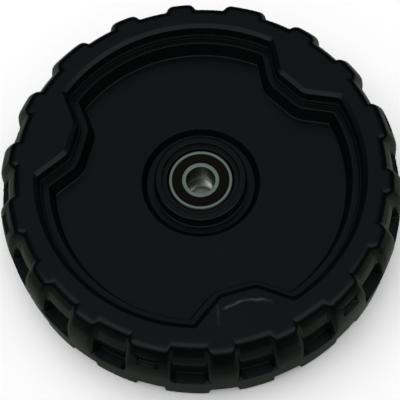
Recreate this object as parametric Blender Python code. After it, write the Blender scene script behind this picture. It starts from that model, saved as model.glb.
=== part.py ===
# Moulded garden machine wheel with two sealed ball bearings.
# Metres, +Z up. The wheel lies on its rear rim, so Z is the axle's direction,
# the front face looks up, and the origin is on the axle line at the rear rim.

import math

import bmesh
import bpy
from mathutils import Matrix, Vector

MM = 0.001

# Tread and rim
WHEEL_RADIUS = 106.5 * MM       # at the crown of the tread
WHEEL_WIDTH = 52.0 * MM         # rear rim to front face
FACE_EDGE_DROP = 8.8 * MM       # radius lost from the crown to the face's edge
SHOULDER_DEPTH = 6.1 * MM       # axial height of the sloped front shoulder
SHOULDER_DROP = 4.7 * MM        # radius still missing where the slope ends
CROWN_RUN = 28.0 * MM           # axial distance from the face to the full radius
REAR_EDGE_DROP = 3.0 * MM       # radius lost from the crown to the rear rim
REAR_SHOULDER = 3.6 * MM        # axial height of the rear shoulder
RIM_HEIGHT = 23.1 * MM          # from the dish's lip to the crown
RIM_WALL = 4.2 * MM             # under the grooves of the tread

# Grooves between the front blocks, and scallops behind the blocks
BLOCK_GROUPS = 6                # each has one wide block and two slim ones
FIRST_BLOCK_ANGLE = 12.5        # degrees, to the middle of a wide block
BLOCK_OFFSET = 20.7             # degrees, from a wide block to each slim one
GROOVE_OFFSET = 11.4            # degrees, from a wide block to the grooves beside it
GROOVE_DEPTH = 5.9 * MM         # below the crown
GROOVE_EDGE_DEPTH = 3.5 * MM    # below the blocks, at the front face
GROOVE_LENGTH = 27.7 * MM       # from the face to the groove's end wall
GROOVE_WIDTH = 16.0 * MM        # across its floor
GROOVE_FRONT_FLARE = 0.85       # sideways run of a flank per unit of height
GROOVE_REAR_FLARE = 0.15        # the same at the end wall
SCALLOP_DEPTH = 2.2 * MM
SCALLOP_LENGTH = 10.0 * MM
SCALLOP_WIDTH = 13.0 * MM
SCALLOP_FLARE = 0.75
STEP_DEPTH = 4.6 * MM           # the low front end of each wide block
STEP_LENGTH = 11.8 * MM
STEP_WIDTH = 9.6 * MM
STEP_FLARE = 0.3

# Dish in the front face
LIP_BEVEL_WIDTH = 2.3 * MM
LIP_BEVEL_DEPTH = 1.55 * MM
LAND_DEPTH = 6.2 * MM           # below the lip
LAND_WIDTH = 1.0 * MM
LEDGE_DEPTH = 8.1 * MM          # below the lip
LEDGE_WIDTH = 3.6 * MM
LEDGE_FILLET = 0.6 * MM
DISH_DEPTH = 17.7 * MM          # below the lip
WALL_DRAFT = 1.2 * MM           # of the wall under the ledge
FLOOR_FILLET = 0.9 * MM
DISH_WALL = 3.1 * MM
DISC_THICKNESS = 4.4 * MM
FACE_THICKNESS = 4.2 * MM

# Lobes that stand into the dish
LOBES = 3
FIRST_LOBE_ANGLE = 42.5         # degrees
LOBE_REACH = 15.0 * MM          # inwards from the lip
LOBE_HALF_WIDTH = 9.4 * MM      # of its flat end
LOBE_SLANT = 54.5               # degrees between its sides and its centre line
LOBE_CORNER = 8.0 * MM
LOBE_ROOT = 2.2 * MM

# Hub
HUB_LAND = 2.7 * MM             # flat ring round the bearing
HUB_LAND_DEPTH = 2.4 * MM       # below the boss's top
BOSS_WALL = 3.9 * MM
BOSS_HEIGHT = 4.4 * MM          # above the dish's floor
BOSS_EDGE = 1.3 * MM
MOAT_DEPTH = 3.2 * MM           # the sunk ring round the boss
MOAT_WIDTH = 4.3 * MM           # across its floor
MOAT_SLOPE = 2.75 * MM          # radial run of its outer wall
FLANGE_THICKNESS = 4.4 * MM     # under the sunk ring
FLANGE_OVERLAP = 3.4 * MM
SEAT_SHOULDER = 2.3 * MM        # radial height of the stop between the bearings
SEAT_SET_BACK = 0.4 * MM        # of each bearing from the hub's end
BEARING_SPACING = 4.0 * MM

# Ribs behind the disc
RIBS = 6
RIB_THICKNESS = 3.2 * MM
RIB_REAR_GAP = 9.0 * MM         # from the rear rim to the ribs' outer ends
RIB_HUB_GAP = 1.6 * MM          # from the hub's rear end to the ribs' inner ends

# Ball bearings
BEARING_RADIUS = 17.5 * MM
BEARING_WIDTH = 11.0 * MM
BORE_SHARE = 3 / 7              # of the outside radius
BALL_SHARE = 0.295              # a ball's radius, of the height from bore to outside
LAND_SHARE = 0.185              # from the ball circle to the rings' inner lands, of the same
STEP_SHARE = 0.085              # height of the steps that hold the seals, of the same
SEAL_STEP_DEPTH = 1.5 * MM
RING_CHAMFER = 0.6 * MM
BORE_CHAMFER = 0.4 * MM
BALLS = 8
SEAL_THICKNESS = 0.9 * MM
SEAL_SET_BACK = 0.3 * MM
CAGE_THICKNESS = 1.7 * MM
CAGE_PRONG = 1.9 * MM           # height of the prongs past the ball centres
SPACER_WALL = 1.7 * MM

# Clearances
SEAT_CLEARANCE = 0.2 * MM
FACE_CLEARANCE = 0.3 * MM
BALL_CLEARANCE = 0.2 * MM
SEAL_CLEARANCE = 0.25 * MM
SPACER_CLEARANCE = 0.15 * MM

# Facets
RIM_SEGMENTS = 90
HUB_SEGMENTS = 45
RING_SEGMENTS = 28
TRACK_STEPS = 3
BALL_SEGMENTS = 8
BALL_RINGS = 6
SHARP_ANGLE = 26.0              # degrees between faces, from which an edge is sharp

# Places and sizes worked out from those above
BORE_RADIUS = BEARING_RADIUS * BORE_SHARE
RING_HEIGHT = BEARING_RADIUS - BORE_RADIUS
BALL_RADIUS = RING_HEIGHT * BALL_SHARE
LAND_OFFSET = RING_HEIGHT * LAND_SHARE
SEAL_STEP = RING_HEIGHT * STEP_SHARE
LIP_RADIUS = WHEEL_RADIUS - RIM_HEIGHT
FACE_EDGE = WHEEL_RADIUS - FACE_EDGE_DROP
GROOVE_RADIUS = WHEEL_RADIUS - GROOVE_DEPTH
CAVITY_RADIUS = GROOVE_RADIUS - RIM_WALL
LIP_Z = WHEEL_WIDTH - LIP_BEVEL_DEPTH
FLOOR_Z = LIP_Z - DISH_DEPTH
DISC_Z = FLOOR_Z - DISC_THICKNESS
BOSS_Z = FLOOR_Z + BOSS_HEIGHT
LAND_Z = BOSS_Z - HUB_LAND_DEPTH
MOAT_Z = FLOOR_Z - MOAT_DEPTH
FLANGE_Z = MOAT_Z - FLANGE_THICKNESS
SEAT_RADIUS = BEARING_RADIUS + SEAT_CLEARANCE
LAND_RADIUS = SEAT_RADIUS + HUB_LAND
BOSS_RADIUS = LAND_RADIUS + BOSS_WALL
MOAT_RADIUS = BOSS_RADIUS + MOAT_WIDTH + MOAT_SLOPE
HALF_WIDTH = BEARING_WIDTH / 2
FRONT_BEARING_Z = LAND_Z - SEAT_SET_BACK - HALF_WIDTH
REAR_BEARING_Z = FRONT_BEARING_Z - BEARING_WIDTH - BEARING_SPACING
HUB_REAR_Z = REAR_BEARING_Z - HALF_WIDTH - SEAT_SET_BACK
PITCH_RADIUS = (BEARING_RADIUS + BORE_RADIUS) / 2
TRACK_RADIUS = BALL_RADIUS + BALL_CLEARANCE
OUTER_STEP = PITCH_RADIUS + LAND_OFFSET + SEAL_STEP
INNER_STEP = PITCH_RADIUS - LAND_OFFSET - SEAL_STEP


def clear_scene():
    for item in list(bpy.data.objects):
        bpy.data.objects.remove(item, do_unlink=True)


def material(name, colour, roughness, metallic=0.0):
    mat = bpy.data.materials.new(name)
    mat.use_nodes = True
    shader = mat.node_tree.nodes["Principled BSDF"]
    shader.inputs["Base Color"].default_value = (*colour, 1.0)
    shader.inputs["Roughness"].default_value = roughness
    shader.inputs["Metallic"].default_value = metallic
    return mat


def object_from(bm, name):
    bmesh.ops.recalc_face_normals(bm, faces=bm.faces[:])
    mesh = bpy.data.meshes.new(name)
    bm.to_mesh(mesh)
    bm.free()
    obj = bpy.data.objects.new(name, mesh)
    bpy.context.scene.collection.objects.link(obj)
    return obj


def finish(obj, mat):
    obj.data.materials.clear()
    obj.data.materials.append(mat)
    obj.data.shade_smooth()
    obj.data.set_sharp_from_angle(angle=math.radians(SHARP_ANGLE))


def turned(name, profile, segments):
    """Spin a closed profile of (radius, z) points round the axle line."""
    bm = bmesh.new()
    verts = [bm.verts.new((radius, 0.0, z)) for radius, z in profile]
    edges = [bm.edges.new((verts[i - 1], verts[i])) for i in range(len(verts))]
    bmesh.ops.spin(bm, geom=verts + edges, cent=(0, 0, 0), axis=(0, 0, 1),
                   angle=math.tau, steps=segments, use_merge=True)
    return object_from(bm, name)


def lofted(name, loops):
    """Close a solid through loops that have equal numbers of points."""
    bm = bmesh.new()
    rings = [[bm.verts.new(point) for point in loop] for loop in loops]
    for low, high in zip(rings, rings[1:]):
        for i in range(len(low)):
            bm.faces.new((low[i - 1], low[i], high[i], high[i - 1]))
    bm.faces.new(rings[0])
    bm.faces.new(rings[-1])
    return object_from(bm, name)


def boolean(obj, tool, operation):
    """Cut obj with the tool, or join the tool to it, then delete the tool."""
    tool.hide_render = True
    tool.display_type = 'WIRE'
    mod = obj.modifiers.new(tool.name, 'BOOLEAN')
    mod.operation = operation
    mod.object = tool
    mod.solver = 'EXACT'
    result = obj.evaluated_get(bpy.context.evaluated_depsgraph_get())
    mesh = bpy.data.meshes.new_from_object(result)
    obj.modifiers.remove(mod)
    obj.data = mesh
    bpy.data.objects.remove(tool, do_unlink=True)


def polar(radius, angle, z):
    return Vector((radius * math.cos(angle), radius * math.sin(angle), z))


def arc(centre, radius, first, last, steps):
    """Points on an arc, from one angle to another, both ends included."""
    angles = [first + (last - first) * i / steps for i in range(steps + 1)]
    return [centre + radius * Vector((math.cos(a), math.sin(a))) for a in angles]


# Outline of the dish

def lobe_half(inset):
    """Half of one lobe as (along, across) points, from its centre line out.

    The inset moves the wall into the dish, square to the wall itself.
    """
    slant = math.radians(LOBE_SLANT)
    along = Vector((math.cos(slant), math.sin(slant)))
    out = Vector((-along.y, along.x))
    end = LIP_RADIUS - LOBE_REACH
    side = Vector((end, LOBE_HALF_WIDTH))
    inner = side - out * LOBE_CORNER
    centre = inner + along * ((end + LOBE_CORNER - inner.x) / along.x)
    corner = arc(centre, LOBE_CORNER + inset, math.pi, math.atan2(out.y, out.x), 3)
    start = side + out * (inset + LOBE_ROOT)
    reach = LIP_RADIUS - inset - LOBE_ROOT
    ahead = start.dot(along)
    run = math.sqrt(ahead ** 2 - start.length_squared + reach ** 2) - ahead
    root_centre = start + along * run
    first = math.atan2(-out.y, -out.x)
    last = math.atan2(root_centre.y, root_centre.x)
    return corner + arc(root_centre, LOBE_ROOT, first, last, 3)


def dish_outline(inset, z, arc_steps=12):
    """The lobed outline of the dish as a loop of points at one height."""
    half = lobe_half(inset)
    edge = math.atan2(half[-1].y, half[-1].x)
    whole = [Vector((p.x, -p.y)) for p in reversed(half)] + half
    pitch = math.tau / LOBES
    loop = []
    for lobe in range(LOBES):
        middle = math.radians(FIRST_LOBE_ANGLE) + lobe * pitch
        for p in whole:
            loop.append(polar(p.length, middle + math.atan2(p.y, p.x), z))
        for i in range(1, arc_steps):
            angle = middle + edge + (pitch - 2 * edge) * i / arc_steps
            loop.append(polar(LIP_RADIUS - inset, angle, z))
    return loop


def dish_cutter():
    ledge = LAND_WIDTH + LEDGE_WIDTH
    wall = ledge + LEDGE_FILLET + WALL_DRAFT
    ledge_z = LIP_Z - LEDGE_DEPTH
    levels = [
        (wall + FLOOR_FILLET, FLOOR_Z),
        (wall + FLOOR_FILLET * 0.3, FLOOR_Z + FLOOR_FILLET * 0.3),
        (wall, FLOOR_Z + FLOOR_FILLET),
        (ledge + LEDGE_FILLET, ledge_z - LEDGE_FILLET),
        (ledge + LEDGE_FILLET * 0.7, ledge_z - LEDGE_FILLET * 0.3),
        (ledge, ledge_z),
        (LAND_WIDTH, ledge_z),
        (LAND_WIDTH, LIP_Z - LAND_DEPTH),
        (0.0, LIP_Z - LAND_DEPTH),
        (0.0, LIP_Z),
        (-2 * LIP_BEVEL_WIDTH, LIP_Z + 2 * LIP_BEVEL_DEPTH),
    ]
    return lofted("dish_cutter", [dish_outline(inset, z) for inset, z in levels])


def cavity_cutter():
    """The open rear side: under the disc, and up behind the face round the dish."""
    slope = (FACE_EDGE_DROP - SHOULDER_DROP) / SHOULDER_DEPTH
    top_z = WHEEL_WIDTH - FACE_THICKNESS
    top_radius = FACE_EDGE - GROOVE_EDGE_DEPTH + slope * FACE_THICKNESS - RIM_WALL
    dish_back = dish_outline(-DISH_WALL, top_z)
    disc_back = dish_outline(LAND_WIDTH + LEDGE_WIDTH - DISH_WALL, DISC_Z)
    angles = [math.atan2(p.y, p.x) for p in dish_back]
    rear = [polar(CAVITY_RADIUS, a, -WHEEL_WIDTH * 0.1) for a in angles]
    side = [polar(CAVITY_RADIUS, a, WHEEL_WIDTH - 2 * SHOULDER_DEPTH) for a in angles]
    top = [polar(top_radius, a, top_z) for a in angles]
    return lofted("cavity_cutter", [rear, side, top, dish_back, disc_back])


# Tread

def rim_blank():
    centre_hole = SEAT_RADIUS / 2
    profile = [(centre_hole, 0.0), (WHEEL_RADIUS - REAR_EDGE_DROP, 0.0)]
    for i in range(1, 4):
        turn = math.pi / 2 * i / 3
        profile.append((WHEEL_RADIUS - REAR_EDGE_DROP * (1 - math.sin(turn)),
                        REAR_SHOULDER * (1 - math.cos(turn))))
    rise = CROWN_RUN - SHOULDER_DEPTH
    for share in (0.0, 0.6, 0.85, 1.0):
        profile.append((WHEEL_RADIUS - SHOULDER_DROP * share ** 3,
                        WHEEL_WIDTH - CROWN_RUN + rise * share))
    profile += [(FACE_EDGE, WHEEL_WIDTH), (centre_hole, WHEEL_WIDTH)]
    return turned("wheel_body", profile, RIM_SEGMENTS)


def tread_cutter(floor, width, degrees, rear_flare, front_flare):
    """A cutter over (radius, z) floor points, with flanks that open outwards."""
    outer = WHEEL_RADIUS + GROOVE_DEPTH
    base = max(radius for radius, z in floor)
    middle = math.radians(degrees)
    loops = []
    for number, (radius, z) in enumerate(floor):
        share = number / (len(floor) - 1)
        flare = rear_flare + (front_flare - rear_flare) * share
        spread = (width / 2 + (outer - base) * flare) / outer
        half = width / 2 / radius
        loop = [polar(radius, middle + a, z) for a in (-half, 0.0, half)]
        loop += [polar(outer, middle + a, z) for a in (spread, 0.0, -spread)]
        loops.append(loop)
    return lofted("tread_cutter", loops)


def cut_tread(body):
    slope = (FACE_EDGE_DROP - SHOULDER_DROP) / SHOULDER_DEPTH
    edge = FACE_EDGE - GROOVE_EDGE_DEPTH
    groove_floor = [
        (GROOVE_RADIUS, WHEEL_WIDTH - GROOVE_LENGTH),
        (GROOVE_RADIUS, WHEEL_WIDTH - 2 * SHOULDER_DEPTH),
        (edge + slope * SHOULDER_DEPTH, WHEEL_WIDTH - SHOULDER_DEPTH),
        (edge - slope * SHOULDER_DEPTH, WHEEL_WIDTH + SHOULDER_DEPTH),
    ]
    rear_edge = WHEEL_RADIUS - REAR_EDGE_DROP - SCALLOP_DEPTH
    scallop = WHEEL_RADIUS - SCALLOP_DEPTH
    scallop_floor = [
        (rear_edge - SCALLOP_DEPTH, -REAR_SHOULDER / 2),
        (scallop - REAR_EDGE_DROP / 3, REAR_SHOULDER / 3),
        (scallop, REAR_SHOULDER),
        (scallop, SCALLOP_LENGTH),
    ]
    step = WHEEL_RADIUS - STEP_DEPTH
    step_floor = [(step, WHEEL_WIDTH - STEP_LENGTH),
                  (step, WHEEL_WIDTH - SHOULDER_DEPTH / 2)]
    group = 360.0 / BLOCK_GROUPS
    for number in range(BLOCK_GROUPS):
        wide = FIRST_BLOCK_ANGLE + group * number
        for offset in (-BLOCK_OFFSET, 0.0, BLOCK_OFFSET):
            boolean(body, tread_cutter(scallop_floor, SCALLOP_WIDTH, wide + offset,
                                       SCALLOP_FLARE, SCALLOP_FLARE), 'DIFFERENCE')
        for offset in (-GROOVE_OFFSET, GROOVE_OFFSET, group / 2):
            boolean(body, tread_cutter(groove_floor, GROOVE_WIDTH, wide + offset,
                                       GROOVE_REAR_FLARE, GROOVE_FRONT_FLARE), 'DIFFERENCE')
        boolean(body, tread_cutter(step_floor, STEP_WIDTH, wide, STEP_FLARE, STEP_FLARE),
                'DIFFERENCE')


# Hub and ribs

def ribs():
    inner = BOSS_RADIUS - BOSS_WALL / 2
    outer = CAVITY_RADIUS + RIM_WALL / 3
    top = WHEEL_WIDTH - FACE_THICKNESS / 2
    outline = [(inner, HUB_REAR_Z + RIB_HUB_GAP), (outer, RIB_REAR_GAP),
               (outer, WHEEL_WIDTH - 2 * SHOULDER_DEPTH),
               (FACE_EDGE - GROOVE_EDGE_DEPTH, top), (inner, top)]
    bm = bmesh.new()
    for number in range(RIBS):
        angle = math.radians(FIRST_LOBE_ANGLE) + math.tau * number / RIBS
        across = polar(RIB_THICKNESS / 2, angle + math.pi / 2, 0.0)
        sides = [[bm.verts.new(polar(r, angle, z) + across * side) for r, z in outline]
                 for side in (-1, 1)]
        for i in range(len(outline)):
            bm.faces.new((sides[0][i - 1], sides[0][i], sides[1][i], sides[1][i - 1]))
        bm.faces.new(sides[0])
        bm.faces.new(sides[1])
    return object_from(bm, "ribs")


def moat_cutter():
    """A plug whose slanted wall becomes the outer wall of the sunk ring."""
    slope = MOAT_SLOPE / MOAT_DEPTH
    rise = BOSS_HEIGHT / 2
    fall = DISC_THICKNESS + FLANGE_THICKNESS / 4
    bm = bmesh.new()
    bmesh.ops.create_cone(bm, cap_ends=True, segments=HUB_SEGMENTS,
                          radius1=MOAT_RADIUS - slope * fall,
                          radius2=MOAT_RADIUS + slope * rise, depth=fall + rise,
                          matrix=Matrix.Translation((0, 0, FLOOR_Z + (rise - fall) / 2)))
    return object_from(bm, "moat_cutter")


def hub():
    stop = SEAT_RADIUS - SEAT_SHOULDER
    rear_stop_z = REAR_BEARING_Z + HALF_WIDTH + FACE_CLEARANCE
    front_stop_z = FRONT_BEARING_Z - HALF_WIDTH - FACE_CLEARANCE
    flange = MOAT_RADIUS + FLANGE_OVERLAP
    profile = [
        (SEAT_RADIUS, HUB_REAR_Z), (SEAT_RADIUS, rear_stop_z),
        (stop, rear_stop_z), (stop, front_stop_z),
        (SEAT_RADIUS, front_stop_z), (SEAT_RADIUS, LAND_Z),
        (LAND_RADIUS, LAND_Z), (LAND_RADIUS, BOSS_Z),
        (BOSS_RADIUS - BOSS_EDGE, BOSS_Z),
        (BOSS_RADIUS - BOSS_EDGE * 0.3, BOSS_Z - BOSS_EDGE * 0.3),
        (BOSS_RADIUS, BOSS_Z - BOSS_EDGE),
        (BOSS_RADIUS, MOAT_Z), (flange, MOAT_Z),
        (flange - FLANGE_OVERLAP / 3, FLANGE_Z), (BOSS_RADIUS, FLANGE_Z),
        (BOSS_RADIUS - BOSS_EDGE, HUB_REAR_Z),
    ]
    return turned("hub", profile, HUB_SEGMENTS)


def wheel_body(mat):
    body = rim_blank()
    boolean(body, cavity_cutter(), 'DIFFERENCE')
    boolean(body, ribs(), 'UNION')
    boolean(body, dish_cutter(), 'DIFFERENCE')
    boolean(body, moat_cutter(), 'DIFFERENCE')
    boolean(body, hub(), 'UNION')
    cut_tread(body)
    finish(body, mat)


# Bearings

def track(side):
    """The ball track's section, with side 1 for the outer ring and -1 for the inner."""
    open_angle = math.acos(LAND_OFFSET / TRACK_RADIUS)
    angles = [open_angle * (1 - 2 * i / TRACK_STEPS) for i in range(TRACK_STEPS + 1)]
    return [(PITCH_RADIUS + side * TRACK_RADIUS * math.cos(a), TRACK_RADIUS * math.sin(a))
            for a in angles]


def outer_ring(name, z):
    land = PITCH_RADIUS + LAND_OFFSET
    step_z = HALF_WIDTH - SEAL_STEP_DEPTH
    profile = [
        (BEARING_RADIUS, -HALF_WIDTH + RING_CHAMFER), (BEARING_RADIUS, HALF_WIDTH - RING_CHAMFER),
        (BEARING_RADIUS - RING_CHAMFER, HALF_WIDTH), (OUTER_STEP, HALF_WIDTH),
        (OUTER_STEP, step_z), (land, step_z), *track(1),
        (land, -step_z), (OUTER_STEP, -step_z),
        (OUTER_STEP, -HALF_WIDTH), (BEARING_RADIUS - RING_CHAMFER, -HALF_WIDTH),
    ]
    return turned(name, [(r, z + h) for r, h in profile], RING_SEGMENTS)


def inner_ring(name, z):
    land = PITCH_RADIUS - LAND_OFFSET
    step_z = HALF_WIDTH - SEAL_STEP_DEPTH
    profile = [
        (BORE_RADIUS, -HALF_WIDTH + BORE_CHAMFER), (BORE_RADIUS, HALF_WIDTH - BORE_CHAMFER),
        (BORE_RADIUS + BORE_CHAMFER, HALF_WIDTH), (INNER_STEP, HALF_WIDTH),
        (INNER_STEP, step_z), (land, step_z), *track(-1),
        (land, -step_z), (INNER_STEP, -step_z),
        (INNER_STEP, -HALF_WIDTH), (BORE_RADIUS + BORE_CHAMFER, -HALF_WIDTH),
    ]
    return turned(name, [(r, z + h) for r, h in profile], RING_SEGMENTS)


def tube(name, inner, outer, low, high):
    return turned(name, [(inner, low), (outer, low), (outer, high), (inner, high)],
                  RING_SEGMENTS)


def seal(name, z, side):
    far = z + side * (HALF_WIDTH - SEAL_SET_BACK)
    near = far - side * SEAL_THICKNESS
    return tube(name, INNER_STEP + SEAL_CLEARANCE, OUTER_STEP - SEAL_CLEARANCE,
                min(near, far), max(near, far))


def ball(name, radius, number, z):
    angle = math.tau * number / BALLS
    place = Matrix.Translation(polar(PITCH_RADIUS, angle, z)) @ Matrix.Rotation(angle, 4, 'Z')
    bm = bmesh.new()
    bmesh.ops.create_uvsphere(bm, u_segments=BALL_SEGMENTS, v_segments=BALL_RINGS,
                              radius=radius, matrix=place)
    return object_from(bm, name)


def cage(name, z, side):
    """A ring with one open pocket for each ball, its closed edge facing inwards."""
    base = HALF_WIDTH - SEAL_SET_BACK - SEAL_THICKNESS - FACE_CLEARANCE
    ends = (z - side * base, z + side * CAGE_PRONG)
    ring = tube(name, PITCH_RADIUS - CAGE_THICKNESS / 2, PITCH_RADIUS + CAGE_THICKNESS / 2,
                min(ends), max(ends))
    for number in range(BALLS):
        boolean(ring, ball("pocket", TRACK_RADIUS, number, z), 'DIFFERENCE')
    return ring


def bearing(end, z, side, steel, ball_steel, nylon, rubber):
    """One sealed bearing; side is 1 where its outside face looks up."""
    finish(outer_ring(end + "_outer_ring", z), steel)
    finish(inner_ring(end + "_inner_ring", z), steel)
    finish(seal(end + "_outside_seal", z, side), rubber)
    finish(seal(end + "_inside_seal", z, -side), rubber)
    finish(cage(end + "_cage", z, side), nylon)
    for number in range(BALLS):
        finish(ball(f"{end}_ball_{number + 1}", BALL_RADIUS, number, z), ball_steel)


def main():
    clear_scene()
    black = material("black_plastic", (0.010, 0.012, 0.012), 0.38)
    steel = material("bearing_steel", (0.42, 0.42, 0.42), 0.30, 1.0)
    ball_steel = material("ball_steel", (0.62, 0.62, 0.63), 0.10, 1.0)
    nylon = material("cage_nylon", (0.60, 0.55, 0.42), 0.50)
    rubber = material("seal_rubber", (0.016, 0.014, 0.012), 0.60)
    zinc = material("spacer_zinc", (0.45, 0.48, 0.38), 0.30, 1.0)
    wheel_body(black)
    bearing("front", FRONT_BEARING_Z, 1, steel, ball_steel, nylon, rubber)
    bearing("rear", REAR_BEARING_Z, -1, steel, ball_steel, nylon, rubber)
    spacer_bore = BORE_RADIUS + SPACER_CLEARANCE
    finish(tube("inner_spacer", spacer_bore, spacer_bore + SPACER_WALL,
                REAR_BEARING_Z + HALF_WIDTH + FACE_CLEARANCE,
                FRONT_BEARING_Z - HALF_WIDTH - FACE_CLEARANCE), zinc)


main()
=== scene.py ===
import math
import bmesh
import bpy
from mathutils import Matrix, Vector


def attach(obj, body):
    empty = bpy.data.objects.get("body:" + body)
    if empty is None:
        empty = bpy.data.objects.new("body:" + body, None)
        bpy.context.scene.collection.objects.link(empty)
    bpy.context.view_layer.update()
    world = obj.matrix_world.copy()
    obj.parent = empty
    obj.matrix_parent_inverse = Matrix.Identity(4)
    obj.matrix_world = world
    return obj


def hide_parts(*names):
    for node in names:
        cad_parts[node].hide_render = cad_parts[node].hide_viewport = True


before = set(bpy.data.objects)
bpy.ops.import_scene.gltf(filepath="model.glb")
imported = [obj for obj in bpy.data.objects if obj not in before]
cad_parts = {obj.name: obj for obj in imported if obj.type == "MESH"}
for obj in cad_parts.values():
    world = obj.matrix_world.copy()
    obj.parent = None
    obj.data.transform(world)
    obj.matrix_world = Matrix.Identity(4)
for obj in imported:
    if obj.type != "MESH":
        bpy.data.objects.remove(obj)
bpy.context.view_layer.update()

scene = bpy.context.scene
mm = 0.001
slack = 0.1 * mm                    # for comparing heights
print("frame loaded:", len(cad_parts), "nodes")


# Working in object and edit mode

def pick(piece):
    bpy.ops.object.select_all(action='DESELECT')
    piece.select_set(True)
    bpy.context.view_layer.objects.active = piece


def openEdit(piece, mode='VERT'):
    pick(piece)
    bpy.ops.object.mode_set(mode='EDIT')
    bpy.ops.mesh.select_mode(type=mode)
    return bmesh.from_edit_mesh(piece.data)


def closeEdit(piece):
    bmesh.update_edit_mesh(piece.data)
    bpy.ops.object.mode_set(mode='OBJECT')


def faceOutwards(piece):
    openEdit(piece)
    bpy.ops.mesh.select_all(action='SELECT')
    bpy.ops.mesh.remove_doubles(threshold=0.001 * mm)
    bpy.ops.mesh.normals_make_consistent(inside=False)
    bpy.ops.object.mode_set(mode='OBJECT')


def startLoop(name, places):
    # a circle primitive with one corner for each place of the outline
    bpy.ops.object.select_all(action='DESELECT')
    bpy.ops.mesh.primitive_circle_add(vertices=len(places), radius=1 * mm)
    piece = bpy.context.object
    piece.name = piece.data.name = name
    for vert, place in zip(piece.data.vertices, places):
        vert.co = place
    return piece


def spinSolid(name, outline, steps):
    # outline is a closed line of (radius, height)
    piece = startLoop(name, [(radius, 0, height) for radius, height in outline])
    openEdit(piece)
    bpy.ops.mesh.select_all(action='SELECT')
    bpy.ops.mesh.spin(steps=steps, angle=math.tau, center=(0, 0, 0), axis=(0, 0, 1))
    bpy.ops.object.mode_set(mode='OBJECT')
    faceOutwards(piece)
    return piece


def loftSolid(name, loops):
    # extrudes one outline through the next ones, then closes both ends
    piece = startLoop(name, loops[0])
    openEdit(piece)
    bpy.ops.mesh.select_all(action='SELECT')
    bpy.ops.mesh.edge_face_add()
    for before, after in zip(loops, loops[1:]):
        bpy.ops.mesh.extrude_region_move()
        bm = bmesh.from_edit_mesh(piece.data)
        moving = {key(vert.co): vert for vert in bm.verts if vert.select}
        for old, new in zip(before, after):
            moving[key(old)].co = new
    closeEdit(piece)
    faceOutwards(piece)
    return piece


def key(place):
    return tuple(round(value / (0.0005 * mm)) for value in place)


def cut(piece, tool, how='DIFFERENCE'):
    pick(piece)
    step = piece.modifiers.new(tool.name, 'BOOLEAN')
    step.operation = how
    step.solver = 'EXACT'
    step.object = tool
    bpy.ops.object.modifier_apply(modifier=step.name)
    bpy.data.objects.remove(tool, do_unlink=True)


def smoothFaces(piece, angle=32):
    # large faces keep their own normal, and the bevels take the turn
    pick(piece)
    bpy.ops.object.shade_smooth_by_angle(angle=math.radians(angle))
    step = piece.modifiers.new("evenNormals", 'WEIGHTED_NORMAL')
    step.keep_sharp = True
    step.weight = 80
    bpy.ops.object.modifier_apply(modifier=step.name)


def polar(radius, angle, height):
    return Vector((radius * math.cos(angle), radius * math.sin(angle), height))


def mix(low, high, share):
    return low + (high - low) * share


def between(value, low, high):
    return min(1.0, max(0.0, (value - low) / (high - low)))


def fillet(corners, closed=False, steps=4):
    # each corner is (across, up, radius)
    line = []
    for i, (x, y, radius) in enumerate(corners):
        here = Vector((x, y))
        if radius == 0 or (not closed and i in (0, len(corners) - 1)):
            line.append(here)
            continue
        back = (Vector(corners[i - 1][:2]) - here).normalized()
        ahead = (Vector(corners[(i + 1) % len(corners)][:2]) - here).normalized()
        half = back.angle(ahead) / 2
        centre = here + (back + ahead).normalized() * radius / math.sin(half)
        first = here + back * radius / math.tan(half) - centre
        last = here + ahead * radius / math.tan(half) - centre
        for step in range(steps + 1):
            line.append(centre + first.lerp(last, step / steps).normalized() * radius)
    return line


# Wheel rim with its block tread

rim = {
    "radius": 106.37 * mm,        # at the crown
    "width": 52.0 * mm,
    "faceEdgeDrop": 8.8 * mm,
    "shoulderDepth": 6.1 * mm,
    "shoulderDrop": 4.7 * mm,
    "crownRun": 28.0 * mm,
    "rearEdgeDrop": 3.0 * mm,
    "rearShoulder": 3.6 * mm,
    "centreHole": 10.0 * mm,
    "largestRound": 2.9 * mm,     # of the bevels on the blocks; the shares below are of it
    "flankRound": 0.85,
    "floorRound": 0.38,
    "endRound": 0.15,
    "faceRound": 1.0,
    "smallRound": 0.25,           # scallops and steps
    "wall": 4.2 * mm,
    "groups": 6,
    "firstBlock": 12.5,           # degrees, to the middle of a wide block
    "slimOffset": 20.7,
    "grooveOffset": 11.4,
    "wallRun": 2.4 * mm,          # room for the bevel at the grooves' end walls
    "stepRun": 1.2 * mm,          # and at those of the steps and scallops
    "leastDepth": 0.4 * mm,       # below which a cut counts as the blocks' surface
    "wideReach": 3.6,             # degrees from the middle of a wide block, for its step and scallop
    "smallRoundFrom": 3.0 * mm,
    "sharpest": 27,               # degrees that an edge may turn without a bevel
}
groove = {"depth": 5.9 * mm, "edgeDepth": 3.5 * mm, "length": 27.7 * mm, "width": 16.0 * mm,
          "frontFlare": 0.85, "rearFlare": 0.15}
scallop = {"depth": 2.2 * mm, "length": 10.0 * mm, "width": 13.0 * mm, "flare": 0.75}
blockStep = {"depth": 4.6 * mm, "length": 11.8 * mm, "width": 9.6 * mm, "flare": 0.3}

faceEdge = rim["radius"] - rim["faceEdgeDrop"]
shoulderZ = rim["width"] - rim["shoulderDepth"]
shoulderSlope = (rim["faceEdgeDrop"] - rim["shoulderDrop"]) / rim["shoulderDepth"]
crownZ = rim["width"] - rim["crownRun"]
grooveFloor = rim["radius"] - groove["depth"]
grooveEndZ = rim["width"] - groove["length"]
stepEndZ = rim["width"] - blockStep["length"]
reach = rim["radius"] + groove["depth"]         # where the flanks' slopes are measured

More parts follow.
